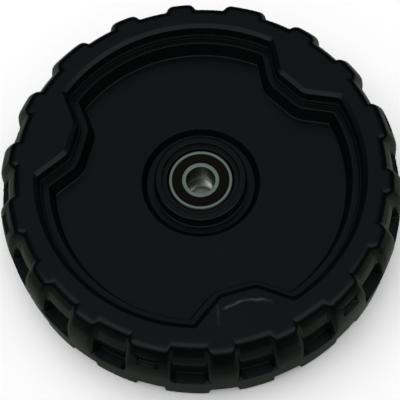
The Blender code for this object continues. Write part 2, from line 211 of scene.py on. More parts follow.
# Columns from the middle of a wide block to the middle of the next group's first groove
wideEdge, firstFloor, firstMiddle, lastFloor, slimEdge = 3, 4, 6, 8, 9
slimMiddle, outerEdge, outerFloor, groupEdge = 12, 15, 16, 18
columns = 2 * groupEdge * rim["groups"]

rearTurns = [math.pi / 2 * i / 4 for i in range(5)]
rows = [rim["rearShoulder"] * (1 - math.cos(turn)) for turn in rearTurns]
rows += [6.6 * mm, scallop["length"], scallop["length"], 13.5 * mm, 17.5 * mm, 21.0 * mm]
rows += [grooveEndZ, grooveEndZ, 29.0 * mm, 32.0 * mm, 35.0 * mm, 37.6 * mm]
rows += [stepEndZ, stepEndZ, 43.0 * mm, 44.5 * mm, shoulderZ, 49.0 * mm, rim["width"]]
scallopRow, grooveRow, stepRow = 6, 11, 17      # the first of the two rows at each end wall


def crownRadius(z):
    if z < rim["rearShoulder"]:
        turn = math.acos(1 - z / rim["rearShoulder"])
        return rim["radius"] - rim["rearEdgeDrop"] * (1 - math.sin(turn))
    if z < shoulderZ:
        share = between(z, crownZ, shoulderZ)
        return rim["radius"] - rim["shoulderDrop"] * share ** 3
    return mix(rim["radius"] - rim["shoulderDrop"], faceEdge, between(z, shoulderZ, rim["width"]))


def grooveRadius(z):
    edge = faceEdge - groove["edgeDepth"]
    atShoulder = edge + shoulderSlope * rim["shoulderDepth"]
    if z < shoulderZ:
        start = rim["width"] - 2 * rim["shoulderDepth"]
        return mix(grooveFloor, atShoulder, between(z, start, shoulderZ))
    return mix(atShoulder, edge, between(z, shoulderZ, rim["width"]))


def scallopRadius(z):
    floor = rim["radius"] - scallop["depth"]
    low = rim["radius"] - rim["rearEdgeDrop"] - scallop["depth"]
    if z < rim["rearShoulder"] / 3:
        start = -rim["rearShoulder"] / 2
        return mix(low - scallop["depth"], floor - rim["rearEdgeDrop"] / 3,
                   between(z, start, rim["rearShoulder"] / 3))
    return mix(floor - rim["rearEdgeDrop"] / 3, floor,
               between(z, rim["rearShoulder"] / 3, rim["rearShoulder"]))


def flankAngles(width, floor, base, flare, top):
    # angles from the middle of a cut to its flank, at its floor and at the blocks' surface
    low = width / 2 / floor
    high = (width / 2 + (reach - base) * flare) / reach
    return low, mix(low, high, between(top, floor, reach))


def grooveAngles(z):
    z = max(z, grooveEndZ)
    floorZ = (grooveEndZ, rim["width"] - 2 * rim["shoulderDepth"], shoulderZ,
              rim["width"] + rim["shoulderDepth"])
    share = 0
    for i in range(3):
        if z >= floorZ[i]:
            share = (i + between(z, floorZ[i], floorZ[i + 1])) / 3
    flare = mix(groove["rearFlare"], groove["frontFlare"], share)
    return flankAngles(groove["width"], grooveRadius(z), grooveFloor, flare, crownRadius(z))


def rearAngles():
    floor = rim["radius"] - scallop["depth"]
    low, high = flankAngles(scallop["width"], floor, floor, scallop["flare"], rim["radius"])
    slim = math.radians(rim["slimOffset"])
    half = math.pi / rim["groups"]
    line = {0: 0.0, 1: low, 2: high, slimMiddle: slim, groupEdge: half}
    line.update({slimMiddle - 1: slim - low, slimMiddle - 2: slim - high,
                 slimMiddle + 1: slim + low, slimMiddle + 2: slim + high})
    return line


def frontAngles(z):
    low, high = grooveAngles(z)
    first = math.radians(rim["grooveOffset"])
    half = math.pi / rim["groups"]
    slim = math.radians(rim["slimOffset"])
    line = {0: 0.0, wideEdge: first - high, firstFloor: first - low, firstMiddle: first,
            lastFloor: first + low, slimEdge: first + high, slimMiddle: slim,
            outerEdge: half - high, outerFloor: half - low, groupEdge: half}
    # the slim block's own columns stay clear of its bevels
    for side, share in ((-2, 0.38), (-1, 0.19), (1, 0.19), (2, 0.38)):
        line[slimMiddle + side] = slim + math.copysign(share, side) * (slim - first - high)
    if stepEndZ - 1 * mm < z < shoulderZ - slack:
        floor = rim["radius"] - blockStep["depth"]
        line[1], line[2] = flankAngles(blockStep["width"], floor, floor, blockStep["flare"],
                                       max(crownRadius(z), floor + rim["leastDepth"]))
    return line


def spreadOut(line):
    # columns without a place of their own are spaced evenly between the others
    known = sorted(line)
    full = dict(line)
    for low, high in zip(known, known[1:]):
        for column in range(low + 1, high):
            full[column] = mix(line[low], line[high], (column - low) / (high - low))
    return full


def treadPoint(column, row):
    # height, radius and angle of one corner of the tread's grid
    place = (column + groupEdge - 1) % (2 * groupEdge) - (groupEdge - 1)
    group = (column - place) // (2 * groupEdge)
    m = abs(place)
    z = rows[row]
    inGroove = firstFloor <= m <= lastFloor or m >= outerFloor
    atGroove = inGroove or m in (wideEdge, slimEdge, outerEdge)
    inScallop = m <= 1 or abs(m - slimMiddle) <= 1
    atScallop = m <= 2 or abs(m - slimMiddle) <= 2
    if row in (grooveRow, grooveRow + 1) and not inGroove:
        if not (atGroove and row == grooveRow):
            z += rim["wallRun"] if row > grooveRow else -rim["wallRun"]
    if row in (stepRow, stepRow + 1) and m > 1:
        if not (m == 2 and row == stepRow):
            z += rim["stepRun"] if row > stepRow else -rim["stepRun"]
    if row in (scallopRow, scallopRow + 1) and not inScallop:
        if not (atScallop and row == scallopRow + 1):
            z += rim["stepRun"] if row > scallopRow else -rim["stepRun"]
    rear, front = spreadOut(rearAngles()), spreadOut(frontAngles(z))
    angle = mix(rear[m], front[m],
                between(z, scallop["length"] + rim["stepRun"], grooveEndZ - rim["wallRun"]))
    # corners along an end wall's outer edge stay clear of its bevels
    if row == grooveRow and inGroove:
        start, end = (wideEdge, slimEdge) if m < slimEdge else (outerEdge, groupEdge)
        angle = mix(front[start], front[end], (m - start) / (end - start))
    elif row == stepRow and m == 1:
        angle = front[2] / 2
    elif row == scallopRow + 1 and inScallop and m not in (0, slimMiddle):
        middle = 0 if m == 1 else slimMiddle
        angle = mix(rear[middle], rear[2 * m - middle], 0.5)
    radius = crownRadius(z)
    if row > grooveRow and inGroove:
        radius = grooveRadius(z)
    elif row > stepRow and m <= 1:
        radius = min(radius, rim["radius"] - blockStep["depth"])
    elif row <= scallopRow and inScallop:
        radius = scallopRadius(z)
    middle = math.radians(rim["firstBlock"]) + math.tau * group / rim["groups"]
    return polar(radius, middle + math.copysign(angle, place), z)


def makeTread():
    bpy.ops.object.select_all(action='DESELECT')
    bpy.ops.mesh.primitive_cylinder_add(vertices=columns, radius=rim["radius"],
                                        depth=len(rows) - 1, end_fill_type='NGON')
    piece = bpy.context.object
    piece.name = piece.data.name = "wheelBody"
    openEdit(piece)
    lowest = -(len(rows) - 1) / 2
    for row in range(1, len(rows) - 1):
        bpy.ops.mesh.select_all(action='SELECT')
        bpy.ops.mesh.bisect(plane_co=(0, 0, lowest + row), plane_no=(0, 0, 1))
    bm = bmesh.from_edit_mesh(piece.data)
    turn = math.tau / columns
    places = {}
    for vert in bm.verts:
        row = round(vert.co.z - lowest)
        column = round(math.atan2(vert.co.y, vert.co.x) / turn) % columns
        places[(column, row)] = vert
    for (column, row), vert in places.items():
        vert.co = treadPoint(column, row)
    joinCorners(places)
    bmesh.update_edit_mesh(piece.data)
    bpy.ops.mesh.vert_connect()
    clearEndWalls(piece)
    weighEdges(piece)
    bpy.ops.object.mode_set(mode='OBJECT')
    roundBlocks(piece)
    faceOutwards(piece)
    return piece


def joinCorners(places):
    # the upright corners of the grooves, scallops and steps run across a grid face
    for vert in places.values():
        vert.select = False
    for (column, row), vert in places.items():
        place = (column + groupEdge - 1) % (2 * groupEdge) - (groupEdge - 1)
        m = abs(place)
        vert.select = (
            row == grooveRow and m in (wideEdge, slimEdge, outerEdge)
            or row == grooveRow + 1 and m in (firstFloor, lastFloor, outerFloor)
            or row == scallopRow + 1 and m in (2, slimMiddle - 2, slimMiddle + 2)
            or row == scallopRow and m in (1, slimMiddle - 1, slimMiddle + 1)
            or row == stepRow and m == 2 or row == stepRow + 1 and m == 1)


def clearEndWalls(piece):
    bpy.ops.mesh.select_all(action='DESELECT')
    bpy.ops.mesh.select_mode(type='EDGE')
    bm = bmesh.from_edit_mesh(piece.data)
    bm.normal_update()
    for edge in bm.edges:
        flat = len(edge.link_faces) == 2 and all(abs(face.normal.z) > 0.999 for face in edge.link_faces)
        if flat and 1 * mm < edge.verts[0].co.z < rim["width"] - 1 * mm:
            edge.select_set(True)
    bmesh.update_edit_mesh(piece.data)
    bpy.ops.mesh.dissolve_edges(use_verts=False)


def roundingOf(edge):
    # share of the largest bevel that an edge gets, by what it belongs to
    middle = (edge.verts[0].co + edge.verts[1].co) / 2
    z, radius = middle.z, math.hypot(middle.x, middle.y)
    turn = math.degrees(math.atan2(middle.y, middle.x)) - rim["firstBlock"]
    pitch = 360 / rim["groups"]
    offWide = abs((turn + pitch / 2) % pitch - pitch / 2)
    if z > rim["width"] - slack:
        return rim["faceRound"]
    if z < grooveEndZ - rim["wallRun"] or offWide < rim["wideReach"]:
        # the flanks of a step run out into the shoulder, and those of a scallop into the rear edge
        return rim["smallRound"] if rim["smallRoundFrom"] < z < stepEndZ + slack else 0
    if z < grooveEndZ + slack:
        return rim["endRound"]
    return rim["floorRound"] if radius < crownRadius(z) - rim["leastDepth"] else rim["flankRound"]


def weighEdges(piece):
    bm = bmesh.from_edit_mesh(piece.data)
    bm.normal_update()
    weight = bm.edges.layers.float.new("bevel_weight_edge")
    for edge in bm.edges:
        if edge.calc_face_angle(0) > math.radians(rim["sharpest"]):
            edge[weight] = roundingOf(edge)
    bmesh.update_edit_mesh(piece.data)


def roundBlocks(piece):
    pick(piece)
    step = piece.modifiers.new("blockEdges", 'BEVEL')
    step.limit_method = 'WEIGHT'
    step.width = rim["largestRound"]
    step.segments = 4
    step.use_clamp_overlap = False
    bpy.ops.object.modifier_apply(modifier=step.name)


wheelBody = makeTread()
print("tread made:", len(wheelBody.data.polygons), "faces")


# Dish in the front face, with its three lobes

dish = {
    "lipBevelWidth": 2.3 * mm,
    "lipBevelDepth": 1.55 * mm,
    "landDepth": 6.2 * mm,
    "landWidth": 1.0 * mm,
    "ledgeDepth": 8.1 * mm,
    "ledgeWidth": 3.6 * mm,
    "depth": 17.7 * mm,
    "draft": 1.2 * mm,
    "floorRound": 0.9 * mm,
    "ledgeRound": 0.6 * mm,
    "edgeRound": 0.3 * mm,
    "lipRound": 1.0 * mm,
    "wall": 3.1 * mm,
    "disc": 4.4 * mm,
    "face": 4.2 * mm,
}
lobe = {"count": 3, "first": 42.5, "reach": 15.0 * mm, "halfWidth": 9.4 * mm, "slant": 54.5,
        "corner": 8.0 * mm, "root": 2.2 * mm}
lipRadius = rim["radius"] - 23.1 * mm
lipZ = rim["width"] - dish["lipBevelDepth"]
floorZ = lipZ - dish["depth"]
discZ = floorZ - dish["disc"]


def bend(centre, radius, first, last, steps):
    return [centre + radius * Vector((math.cos(a), math.sin(a)))
            for a in (mix(first, last, i / steps) for i in range(steps + 1))]


def lobeHalf(inset):
    slant = math.radians(lobe["slant"])
    along = Vector((math.cos(slant), math.sin(slant)))
    out = Vector((-along.y, along.x))
    end = lipRadius - lobe["reach"]
    side = Vector((end, lobe["halfWidth"]))
    inner = side - out * lobe["corner"]
    centre = inner + along * ((end + lobe["corner"] - inner.x) / along.x)
    corner = bend(centre, lobe["corner"] + inset, math.pi, math.atan2(out.y, out.x), 8)
    start = side + out * (inset + lobe["root"])
    ahead = start.dot(along)
    run = math.sqrt(ahead ** 2 - start.length_squared + (lipRadius - inset - lobe["root"]) ** 2) - ahead
    rootCentre = start + along * run
    return corner + bend(rootCentre, lobe["root"], math.atan2(-out.y, -out.x),
                         math.atan2(rootCentre.y, rootCentre.x), 6)


def dishOutline(inset, z, arcSteps=72):
    half = lobeHalf(inset)
    edge = math.atan2(half[-1].y, half[-1].x)
    whole = [Vector((p.x, -p.y)) for p in reversed(half)] + half
    pitch = math.tau / lobe["count"]
    loop = []
    for number in range(lobe["count"]):
        middle = math.radians(lobe["first"]) + number * pitch
        loop += [polar(p.length, middle + math.atan2(p.y, p.x), z) for p in whole]
        loop += [polar(lipRadius - inset, middle + edge + (pitch - 2 * edge) * i / arcSteps, z)
                 for i in range(1, arcSteps)]
    return loop


def cutDish(piece):
    edge = dish["edgeRound"]
    ledge = dish["landWidth"] + dish["ledgeWidth"]
    landZ, ledgeZ = lipZ - dish["landDepth"], lipZ - dish["ledgeDepth"]
    path = fillet([
        (-3 * dish["lipBevelWidth"], rim["width"] + 0.4 * mm, 0),
        (-dish["lipBevelWidth"], rim["width"] - 0.05 * mm, dish["lipRound"]),
        (0, lipZ, edge),
        (0, landZ, edge),
        (dish["landWidth"], landZ, edge),
        (dish["landWidth"], ledgeZ, edge),
        (ledge, ledgeZ, dish["ledgeRound"]),
        (ledge + dish["ledgeRound"] + dish["draft"], floorZ, dish["floorRound"]),
        (ledge + 3 * dish["floorRound"] + dish["draft"], floorZ, 0),
    ])
    cut(piece, loftSolid("dishTool", [dishOutline(inset, z) for inset, z in path]))


def cutCavity(piece):
    # the open rear side, up behind the face and under the dish
    topZ = rim["width"] - dish["face"]
    topRadius = faceEdge - groove["edgeDepth"] + shoulderSlope * dish["face"] - rim["wall"]
    outer = grooveFloor - rim["wall"]
    dishBack = dishOutline(-dish["wall"], topZ, 24)
    discBack = dishOutline(dish["landWidth"] + dish["ledgeWidth"] - dish["wall"], discZ, 24)
    angles = [math.atan2(p.y, p.x) for p in dishBack]
    loops = [[polar(outer, a, -5 * mm) for a in angles],
             [polar(outer, a, rim["width"] - 2 * rim["shoulderDepth"]) for a in angles],
             [polar(topRadius, a, topZ) for a in angles], dishBack, discBack]
    cut(piece, loftSolid("cavityTool", loops))


# Hub with the bearing seats, and the ribs behind the disc

hub = {
    "land": 2.7 * mm,
    "landDepth": 2.4 * mm,
    "bossWall": 3.9 * mm,
    "bossHeight": 4.4 * mm,
    "bossEdge": 1.3 * mm,
    "edgeRound": 0.3 * mm,
    "moatDepth": 3.2 * mm,
    "moatWidth": 4.3 * mm,
    "moatSlope": 2.75 * mm,
    "moatDip": 0.35 * mm,         # how much its floor falls towards the boss, each way
    "moatRound": 0.8 * mm,
    "rearRound": 1.5 * mm,
    "flange": 4.4 * mm,
    "flangeOverlap": 3.4 * mm,
    "stop": 2.3 * mm,
    "steps": 180,
}
bearing = {
    "radius": 17.5 * mm,
    "bore": 7.5 * mm,
    "width": 11.0 * mm,
    "spacing": 4.0 * mm,
    "setBack": 0.4 * mm,
    "seatGap": 0.2 * mm,
    "faceGap": 0.3 * mm,
    "chamfer": 0.95 * mm,
    "boreChamfer": 0.5 * mm,
    "stepDepth": 1.5 * mm,
    "ringShare": 0.185,           # of the height between bore and outside, from its middle
    "stepShare": 0.085,
    "ballShare": 0.295,
    "ballGap": 0.2 * mm,
    "sealShare": 0.27,
    "sealGap": 0.12 * mm,
    "sealSetBack": 0.3 * mm,
    "sealThickness": 0.9 * mm,
    "sealDip": 0.25 * mm,
    "sealSlope": 0.25 * mm,
    "innerLip": 0.7 * mm,
    "outerLip": 0.8 * mm,
    "midRib": 0.25 * mm,          # half its width
    "midRibSlope": 0.2 * mm,
    "steps": 120,
}
bossZ = floorZ + hub["bossHeight"]
hubLandZ = bossZ - hub["landDepth"]
moatZ = floorZ - hub["moatDepth"]
flangeZ = moatZ - hub["flange"]
seatRadius = bearing["radius"] + bearing["seatGap"]
landRadius = seatRadius + hub["land"]
bossRadius = landRadius + hub["bossWall"]
moatRadius = bossRadius + hub["moatWidth"] + hub["moatSlope"]
halfWidth = bearing["width"] / 2
frontZ = hubLandZ - bearing["setBack"] - halfWidth
rearZ = frontZ - bearing["width"] - bearing["spacing"]
hubRearZ = rearZ - halfWidth - bearing["setBack"]


def cutMoat(piece):
    slope = hub["moatSlope"] / hub["moatDepth"]
    rise, fall = hub["bossHeight"] / 2, dish["disc"] + hub["flange"] / 4
    edge = 0.7 * mm
    outline = fillet([
        (0, floorZ - fall, 0), (moatRadius - slope * fall, floorZ - fall, 0),
        (moatRadius, floorZ, edge), (moatRadius + 3 * mm, floorZ + 0.2 * mm, 0),
        (moatRadius + 3 * mm, floorZ + rise, 0), (0, floorZ + rise, 0)])
    cut(piece, spinSolid("moatTool", outline, hub["steps"]))


def makeHub():
    edge = hub["edgeRound"]
    stop = seatRadius - hub["stop"]
    rearStop = rearZ + halfWidth + bearing["faceGap"]
    frontStop = frontZ - halfWidth - bearing["faceGap"]
    flange = moatRadius + hub["flangeOverlap"]
    outline = fillet([
        (seatRadius, hubRearZ, edge), (seatRadius, rearStop, 0), (stop, rearStop, edge),
        (stop, frontStop, edge), (seatRadius, frontStop, 0), (seatRadius, hubLandZ, edge),
        (landRadius, hubLandZ, edge), (landRadius, bossZ, edge * 1.5),
        (bossRadius, bossZ, hub["bossEdge"]), (bossRadius, moatZ - hub["moatDip"], hub["moatRound"]),
        (flange, moatZ + hub["moatDip"], 0), (flange - hub["flangeOverlap"] / 3, flangeZ, edge),
        (bossRadius, flangeZ, hub["rearRound"]),
        (bossRadius - hub["bossEdge"], hubRearZ, edge)], closed=True)
    return spinSolid("hubTool", outline, hub["steps"])


ribs = {"count": 6, "thickness": 3.2 * mm, "rearGap": 9.0 * mm, "hubGap": 1.6 * mm}


def makeRib(angle):
    # a plate on edge, from the hub to the rim, cut down towards the rim
    inner = bossRadius - hub["bossWall"] / 2
    outer = grooveFloor - rim["wall"] * 2 / 3
    top = rim["width"] - dish["face"] / 2
    bpy.ops.object.select_all(action='DESELECT')
    bpy.ops.mesh.primitive_cube_add(size=1)
    piece = bpy.context.object
    piece.name = piece.data.name = "ribTool"
    low = {-1: hubRearZ + ribs["hubGap"], 1: ribs["rearGap"]}
    for vert in piece.data.vertices:
        side = 1 if vert.co.x > 0 else -1
        vert.co.x = outer if side > 0 else inner
        vert.co.y *= ribs["thickness"]
        vert.co.z = top if vert.co.z > 0 else low[side]
    openEdit(piece)
    bpy.ops.mesh.select_all(action='SELECT')
    corner = (outer, 0, rim["width"] - 2 * rim["shoulderDepth"])
    lean = outer - (faceEdge - groove["edgeDepth"])
    slant = Vector((top - corner[2], 0, lean)).normalized()
    bpy.ops.mesh.bisect(plane_co=corner, plane_no=slant, use_fill=True, clear_outer=True)
    bpy.ops.object.mode_set(mode='OBJECT')
    piece.data.transform(Matrix.Rotation(angle, 4, 'Z'))
    faceOutwards(piece)
    return piece


def makeRibs():
    plates = [makeRib(math.radians(lobe["first"]) + math.tau * i / ribs["count"])
              for i in range(ribs["count"])]
    bpy.ops.object.select_all(action='DESELECT')
    for plate in plates:
        plate.select_set(True)
    bpy.context.view_layer.objects.active = plates[0]
    bpy.ops.object.join()
    return plates[0]


def boreCentre(piece):
    past = 5 * mm
    low, high = -past, rim["width"] + past
    outline = [(0, low), (rim["centreHole"], low), (rim["centreHole"], high), (0, high)]
    cut(piece, spinSolid("centreTool", outline, 48))


boreCentre(wheelBody)
cutCavity(wheelBody)
cut(wheelBody, makeRibs(), 'UNION')
cutDish(wheelBody)
cutMoat(wheelBody)
cut(wheelBody, makeHub(), 'UNION')
smoothFaces(wheelBody)
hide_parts("wheel_body")
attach(wheelBody, "wheel")
print("wheel body made:", len(wheelBody.data.polygons), "faces")


# Rings, seals and spacer of the bearings

def ringOutline(side, z):
    # side 1 is the outer ring, side -1 the inner one
    wide = bearing["radius"] if side > 0 else bearing["bore"]
    chamfer = bearing["chamfer"] if side > 0 else bearing["boreChamfer"]
    middle = (bearing["radius"] + bearing["bore"]) / 2
    height = bearing["radius"] - bearing["bore"]
    land = middle + side * height * bearing["ringShare"]
    step = land + side * height * bearing["stepShare"]
    low, high = z - halfWidth, z + halfWidth
    shelf = bearing["stepDepth"]
    ball = height * bearing["ballShare"] + bearing["ballGap"]
    opening = math.acos(height * bearing["ringShare"] / ball)
    track = [(middle + side * ball * math.cos(a), z + ball * math.sin(a), 0)
             for a in (opening * (1 - i / 6) for i in range(13))]
    corners = [(wide, low, chamfer), (wide, high, chamfer), (step, high, 0.15 * mm),
               (step, high - shelf, 0), (land, high - shelf, 0), *track,
               (land, low + shelf, 0), (step, low + shelf, 0), (step, low, 0.15 * mm)]
    return fillet(corners, closed=True)


def sealOutline(z, side):
    # a thin washer with a raised lip at each edge and a low rib between them
    middle = (bearing["radius"] + bearing["bore"]) / 2
    height = bearing["radius"] - bearing["bore"]
    half = height * bearing["sealShare"] - bearing["sealGap"]
    far = z + side * (halfWidth - bearing["sealSetBack"])
    near = far - side * bearing["sealThickness"]
    low = far - side * bearing["sealDip"]
    crest = far - side * bearing["sealDip"] / 3
    first, last = middle - half, middle + half
    inner, outer = first + bearing["innerLip"], last - bearing["outerLip"]
    slope, rib = bearing["sealSlope"], bearing["midRib"]
    ribFoot = rib + bearing["midRibSlope"]
    edge = 0.1 * mm
    corners = [
        (first, near, 0), (first, far, edge), (inner, far, edge), (inner + slope, low, edge),
        (middle - ribFoot, low, edge), (middle - rib, crest, edge), (middle + rib, crest, edge),
        (middle + ribFoot, low, edge), (outer - slope, low, edge), (outer, far, edge),
        (last, far, edge), (last, near, 0)]
    return fillet(corners, closed=True)


def finishTurned(piece, node, body):
    smoothFaces(piece)
    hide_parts(node)
    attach(piece, body)
    return piece


steelPieces, rubberPieces = [], []
for end, z, side in (("front", frontZ, 1), ("rear", rearZ, -1)):
    for name, ring, body in (("outer", 1, "wheel"), ("inner", -1, end + "_inner")):
        made = spinSolid(end + name.title() + "Ring", ringOutline(ring, z), bearing["steps"])
        steelPieces.append(finishTurned(made, f"{end}_{name}_ring", body))
    for name, way in (("outside", side), ("inside", -side)):
        made = spinSolid(end + name.title() + "Seal", sealOutline(z, way), bearing["steps"])
        rubberPieces.append(finishTurned(made, f"{end}_{name}_seal", "wheel"))

tube = {"gap": 0.15 * mm, "wall": 1.7 * mm, "edge": 0.2 * mm, "steps": 96}
tubeBore = bearing["bore"] + tube["gap"]
tubeLow = rearZ + halfWidth + bearing["faceGap"]
tubeHigh = frontZ - halfWidth - bearing["faceGap"]
spacer = spinSolid("innerSpacer", fillet(
    [(across, up, tube["edge"]) for across, up in (
        (tubeBore, tubeLow), (tubeBore + tube["wall"], tubeLow),
        (tubeBore + tube["wall"], tubeHigh), (tubeBore, tubeHigh))], closed=True), tube["steps"])
finishTurned(spacer, "inner_spacer", "rear_inner")
print("bearing pieces made")


# Shader helpers

def addNode(tree, kind, **values):
    made = tree.nodes.new(kind)
    for name, value in values.items():
        if name in made.inputs:
            made.inputs[name].default_value = value
        else:
            setattr(made, name, value)
    return made


def newGroup(name, inputs, outputs):
    group = bpy.data.node_groups.new(name, 'ShaderNodeTree')
    for label, kind, value in inputs:
        socket = group.interface.new_socket(label, in_out='INPUT', socket_type=kind)
        socket.default_value = value
    for label, kind in outputs:
        group.interface.new_socket(label, in_out='OUTPUT', socket_type=kind)
    return group, group.nodes.new('NodeGroupInput'), group.nodes.new('NodeGroupOutput')


def noiseAt(tree, place, size, detail=3.0, roughness=0.5):
    # size is that of one blotch, in metres
    made = addNode(tree, 'ShaderNodeTexNoise', Scale=1 / size, Detail=detail, Roughness=roughness)
    tree.links.new(place, made.inputs["Vector"])
    return made.outputs["Fac"]


def rangeOf(tree, value, low, high, toLow, toHigh):
    made = addNode(tree, 'ShaderNodeMapRange', clamp=True)
    tree.links.new(value, made.inputs["Value"])
    for name, number in (("From Min", low), ("From Max", high), ("To Min", toLow), ("To Max", toHigh)):
        if isinstance(number, bpy.types.NodeSocket):
            tree.links.new(number, made.inputs[name])
        else:
            made.inputs[name].default_value = number
    return made.outputs["Result"]


def mathOf(tree, how, first, second=None):
    made = addNode(tree, 'ShaderNodeMath', operation=how)
    for i, value in enumerate((first, second)):
        if isinstance(value, bpy.types.NodeSocket):
            tree.links.new(value, made.inputs[i])
        elif value is not None:
            made.inputs[i].default_value = value
    return made.outputs[0]


def mixColour(tree, share, first, second):
    made = addNode(tree, 'ShaderNodeMix', data_type='RGBA')
    for i, value in zip((0, 6, 7), (share, first, second)):
        if isinstance(value, bpy.types.NodeSocket):
            tree.links.new(value, made.inputs[i])
        else:
            made.inputs[i].default_value = value
    return made.outputs[2]


# Surface groups shared by the materials

def makeMouldedGroup():
    # colour, roughness and height of a moulded surface: cloudy patches, fine grain, faint scuffs
    group, given, made = newGroup(
        "mouldedSurface",
        [("Colour", 'NodeSocketColor', (0.01, 0.01, 0.01, 1)),
         ("Pale", 'NodeSocketColor', (0.02, 0.02, 0.02, 1)),
         ("Cloud", 'NodeSocketFloat', 0.3), ("Rough", 'NodeSocketFloat', 0.4),
         ("RoughSpread", 'NodeSocketFloat', 0.06), ("Scuffs", 'NodeSocketFloat', 0.3),
         ("SeamHeight", 'NodeSocketFloat', -1.0)],
        [("Colour", 'NodeSocketColor'), ("Roughness", 'NodeSocketFloat'), ("Height", 'NodeSocketFloat')])
    place = addNode(group, 'ShaderNodeTexCoord').outputs["Object"]
    parts = addNode(group, 'ShaderNodeSeparateXYZ')
    group.links.new(place, parts.inputs[0])
    # a fine raised line where the two halves of the mould met
    offSeam = mathOf(group, 'ABSOLUTE', mathOf(group, 'SUBTRACT', parts.outputs["Z"],
                                               given.outputs["SeamHeight"]))
    seam = rangeOf(group, offSeam, 0.1 * mm, 0.45 * mm, 6, 0)
    cloud = rangeOf(group, noiseAt(group, place, 35 * mm, 3), 0.35, 0.7, 0, 1)
    grain = noiseAt(group, place, 0.45 * mm, 2)
    fine = noiseAt(group, place, 1.6 * mm, 3)
    streak = addNode(group, 'ShaderNodeMapping', Scale=(1, 0.12, 1), Rotation=(0, 0, 0.6))
    group.links.new(place, streak.inputs["Vector"])
    scratch = rangeOf(group, noiseAt(group, streak.outputs[0], 1.2 * mm, 4, 0.6), 0.66, 0.74, 0, 1)
    patch = rangeOf(group, noiseAt(group, place, 22 * mm, 2), 0.5, 0.68, 0, 1)
    paleMarks = mathOf(group, 'MULTIPLY', mathOf(group, 'MULTIPLY', scratch, patch), given.outputs["Scuffs"])
    share = mathOf(group, 'ADD', mathOf(group, 'MULTIPLY', cloud, given.outputs["Cloud"]), paleMarks)
    group.links.new(mixColour(group, share, given.outputs["Colour"], given.outputs["Pale"]),
                    made.inputs["Colour"])
    spread = mathOf(group, 'MULTIPLY', rangeOf(group, fine, 0.3, 0.7, -1, 1), given.outputs["RoughSpread"])
    rough = mathOf(group, 'ADD', mathOf(group, 'ADD', given.outputs["Rough"], spread),
                   mathOf(group, 'MULTIPLY', paleMarks, 0.25))
    group.links.new(rough, made.inputs["Roughness"])
    height = mathOf(group, 'ADD', mathOf(group, 'ADD', grain, mathOf(group, 'MULTIPLY', fine, 1.5)), seam)
    group.links.new(height, made.inputs["Height"])
    return group


def makeTurnedGroup():
    # fine rings round the axle line, as a lathe or grinder leaves them, with stains, and shade painted
    # darker beyond one radius and inside the bore
    group, given, made = newGroup(
        "turnedSurface",
        [("Colour", 'NodeSocketColor', (0.5, 0.5, 0.5, 1)), ("Stain", 'NodeSocketColor', (0.3, 0.3, 0.3, 1)),
         ("Staining", 'NodeSocketFloat', 0.3), ("Rough", 'NodeSocketFloat', 0.3),
         ("RoughSpread", 'NodeSocketFloat', 0.08), ("ShadeFromRadius", 'NodeSocketFloat', 1.0),
         ("BoreRadius", 'NodeSocketFloat', 0.0), ("ShadeColour", 'NodeSocketColor', (0.02, 0.02, 0.02, 1))],
        [("Colour", 'NodeSocketColor'), ("Roughness", 'NodeSocketFloat'), ("Height", 'NodeSocketFloat')])
    place = addNode(group, 'ShaderNodeTexCoord').outputs["Object"]
    parts = addNode(group, 'ShaderNodeSeparateXYZ')
    group.links.new(place, parts.inputs[0])
    flat = addNode(group, 'ShaderNodeCombineXYZ')
    group.links.new(parts.outputs["X"], flat.inputs["X"])
    group.links.new(parts.outputs["Y"], flat.inputs["Y"])
    length = addNode(group, 'ShaderNodeVectorMath', operation='LENGTH')
    group.links.new(flat.outputs[0], length.inputs[0])
    line = addNode(group, 'ShaderNodeCombineXYZ')
    group.links.new(length.outputs["Value"], line.inputs["X"])
    group.links.new(parts.outputs["Z"], line.inputs["Z"])
    rings = noiseAt(group, line.outputs[0], 0.12 * mm, 4, 0.7)
    stain = rangeOf(group, noiseAt(group, place, 5 * mm, 4, 0.6), 0.4, 0.75, 0, 1)
    share = mathOf(group, 'MULTIPLY', stain, given.outputs["Staining"])
    unshaded = mixColour(group, share, given.outputs["Colour"], given.outputs["Stain"])
    # painted shade: past the one radius and inside the bore the colour turns dark, standing in for the shade
    # at a ring's outer edge and in the bore
    beyond = mathOf(group, 'SUBTRACT', length.outputs["Value"], given.outputs["ShadeFromRadius"])
    within = mathOf(group, 'SUBTRACT', given.outputs["BoreRadius"], length.outputs["Value"])
    paintedShade = rangeOf(group, mathOf(group, 'MAXIMUM', beyond, within), 0, 0.35 * mm, 0, 1)
    group.links.new(mixColour(group, paintedShade, unshaded, given.outputs["ShadeColour"]), made.inputs["Colour"])
    spread = mathOf(group, 'MULTIPLY', rangeOf(group, rings, 0.3, 0.7, -1, 1), given.outputs["RoughSpread"])
    rough = mathOf(group, 'ADD', mathOf(group, 'ADD', given.outputs["Rough"], spread),
                   mathOf(group, 'MULTIPLY', share, 0.2))
    group.links.new(rough, made.inputs["Roughness"])
    group.links.new(rings, made.inputs["Height"])
    return group


mouldedGroup = makeMouldedGroup()
turnedGroup = makeTurnedGroup()


def surfaceMaterial(name, group, values, bump, bumpDepth, **shaderValues):
    made = bpy.data.materials.new(name)
    made.use_nodes = True
    tree = made.node_tree
    shader = tree.nodes["Principled BSDF"]
    for label, value in shaderValues.items():
        shader.inputs[label.replace("_", " ")].default_value = value
    surface = addNode(tree, 'ShaderNodeGroup')
    surface.node_tree = group
    for label, value in values.items():
        surface.inputs[label].default_value = value
    relief = addNode(tree, 'ShaderNodeBump', Strength=bump, Distance=bumpDepth)
    tree.links.new(surface.outputs["Colour"], shader.inputs["Base Color"])
    tree.links.new(surface.outputs["Roughness"], shader.inputs["Roughness"])
    tree.links.new(surface.outputs["Height"], relief.inputs["Height"])
    tree.links.new(relief.outputs["Normal"], shader.inputs["Normal"])
    return made
